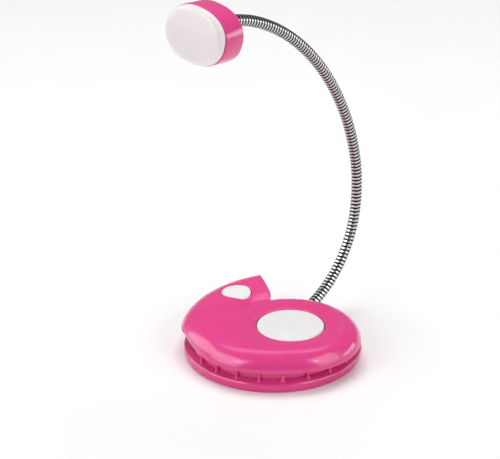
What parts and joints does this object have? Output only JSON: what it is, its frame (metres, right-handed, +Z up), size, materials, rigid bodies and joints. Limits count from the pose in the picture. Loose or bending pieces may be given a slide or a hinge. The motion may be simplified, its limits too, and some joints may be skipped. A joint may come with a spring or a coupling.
{
  "type": "clip-on reading lamp",
  "caption": "Clip-on reading lamp: a round sprung clip with a spiral shell and a push button, a wound metal gooseneck and a small oval head with a frosted diffuser.",
  "frame": {"origin": "centre of the lower jaw's flat underside", "axes": "+Z up, the gripping front faces -Y, +X to the right seen from the front"},
  "size_m": [0.0777, 0.0841, 0.1544],
  "materials": {
    "pink_plastic": "glossy moulded pink",
    "white_plastic": "satin white",
    "frosted_diffuser": "frosted, slightly translucent",
    "chrome_winding": "polished, wound",
    "lead_insulation": "black insulation",
    "cell_steel": "nickel plated",
    "contact_brass": "plain",
    "steel": "zinc plated",
    "board_green": "solder mask",
    "switch_black": "moulded",
    "led_yellow": "phosphor"
  },
  "bodies": {
    "jaw": {"jaw_dish": "pink_plastic", "hinge_pin": "steel", "clip_spring": "steel"},
    "case": {"top_shell": "pink_plastic", "under_cover": "pink_plastic", "case_screws": "steel", "battery_cap": "white_plastic", "coin_cell_lower": "cell_steel", "coin_cell_upper": "cell_steel", "contact_negative": "contact_brass", "contact_positive": "contact_brass", "circuit_board": "board_green", "switch_body": "switch_black", "neck_socket": "pink_plastic", "neck_root_winding": "chrome_winding"},
    "button": {"power_button": "white_plastic", "switch_plunger": "white_plastic"},
    "neck_1": {"neck_winding_1": "chrome_winding", "neck_lead_1": "lead_insulation"},
    "neck_2": {"neck_winding_2": "chrome_winding", "neck_lead_2": "lead_insulation"},
    "neck_3": {"neck_winding_3": "chrome_winding", "neck_lead_3": "lead_insulation"},
    "neck_4": {"neck_winding_4": "chrome_winding", "neck_lead_4": "lead_insulation"},
    "neck_5": {"neck_winding_5": "chrome_winding", "neck_lead_5": "lead_insulation"},
    "neck_6": {"neck_winding_6": "chrome_winding", "neck_lead_6": "lead_insulation"},
    "neck_7": {"neck_winding_7": "chrome_winding", "neck_lead_7": "lead_insulation"},
    "neck_8": {"neck_winding_8": "chrome_winding", "neck_lead_8": "lead_insulation"},
    "head": {"neck_tip_winding": "chrome_winding", "head_ferrule": "pink_plastic", "head_housing": "pink_plastic", "diffuser": "frosted_diffuser", "reflector": "white_plastic", "led_board": "board_green", "leds": "led_yellow"}
  },
  "joints": [
    {"name": "clip_hinge", "type": "hinge", "parent": "jaw", "child": "case", "pos_m": [0.007, 0.01, 0.006], "axis": [-1, 0, 0], "range_deg": [0, 9], "stiffness_Nm_per_rad": 0.35, "springref_deg": -20.05, "deforming": ["clip_spring"]},
    {"name": "button_press", "type": "slide", "parent": "case", "child": "button", "axis": [0, 0, -1], "range_m": [0, 0.0008], "stiffness_N_per_m": 900, "springref_m": -0.0004},
    {"name": "neck_bend_1", "type": "hinge", "parent": "case", "child": "neck_1", "pos_m": [0.015, 0.0226, 0.0082], "axis": [0.7466, -0.6652, 0], "range_deg": [-8, 8]},
    {"name": "neck_sway_1", "type": "hinge", "parent": "neck_1", "child": "neck_2", "pos_m": [0.02838, 0.03761, 0.02113], "axis": [-0.5058, -0.5677, 0.6494], "range_deg": [-10, 10]},
    {"name": "neck_bend_2", "type": "hinge", "parent": "neck_2", "child": "neck_3", "pos_m": [0.03498, 0.04502, 0.04291], "axis": [0.7466, -0.6652, 0], "range_deg": [-8, 8]},
    {"name": "neck_sway_2", "type": "hinge", "parent": "neck_3", "child": "neck_4", "pos_m": [0.03442, 0.04439, 0.06701], "axis": [-0.6495, -0.7289, -0.2164], "range_deg": [-10, 10]},
    {"name": "neck_bend_3", "type": "hinge", "parent": "neck_4", "child": "neck_5", "pos_m": [0.02898, 0.03829, 0.08978], "axis": [0.7466, -0.6652, 0], "range_deg": [-8, 8]},
    {"name": "neck_sway_3", "type": "hinge", "parent": "neck_5", "child": "neck_6", "pos_m": [0.02015, 0.02839, 0.11002], "axis": [-0.5133, -0.5761, -0.6361], "range_deg": [-10, 10]},
    {"name": "neck_bend_4", "type": "hinge", "parent": "neck_6", "child": "neck_7", "pos_m": [0.00862, 0.01544, 0.1269], "axis": [0.7466, -0.6652, 0], "range_deg": [-8, 8]},
    {"name": "neck_sway_4", "type": "hinge", "parent": "neck_7", "child": "neck_8", "pos_m": [-0.00521, -0.00008, 0.13927], "axis": [-0.2653, -0.2977, -0.9171], "range_deg": [-10, 10]},
    {"name": "neck_bend_5", "type": "hinge", "parent": "neck_8", "child": "head", "pos_m": [-0.02081, -0.01759, 0.1449], "axis": [0.7466, -0.6652, 0], "range_deg": [-8, 8]}
  ],
  "couplings": [
    {"joint": "neck_bend_2", "follows": "neck_bend_1", "ratio": 1},
    {"joint": "neck_sway_2", "follows": "neck_sway_1", "ratio": 1},
    {"joint": "neck_bend_3", "follows": "neck_bend_1", "ratio": 1},
    {"joint": "neck_sway_3", "follows": "neck_sway_1", "ratio": 1},
    {"joint": "neck_bend_4", "follows": "neck_bend_1", "ratio": 1},
    {"joint": "neck_sway_4", "follows": "neck_sway_1", "ratio": 1},
    {"joint": "neck_bend_5", "follows": "neck_bend_1", "ratio": 1}
  ]
}
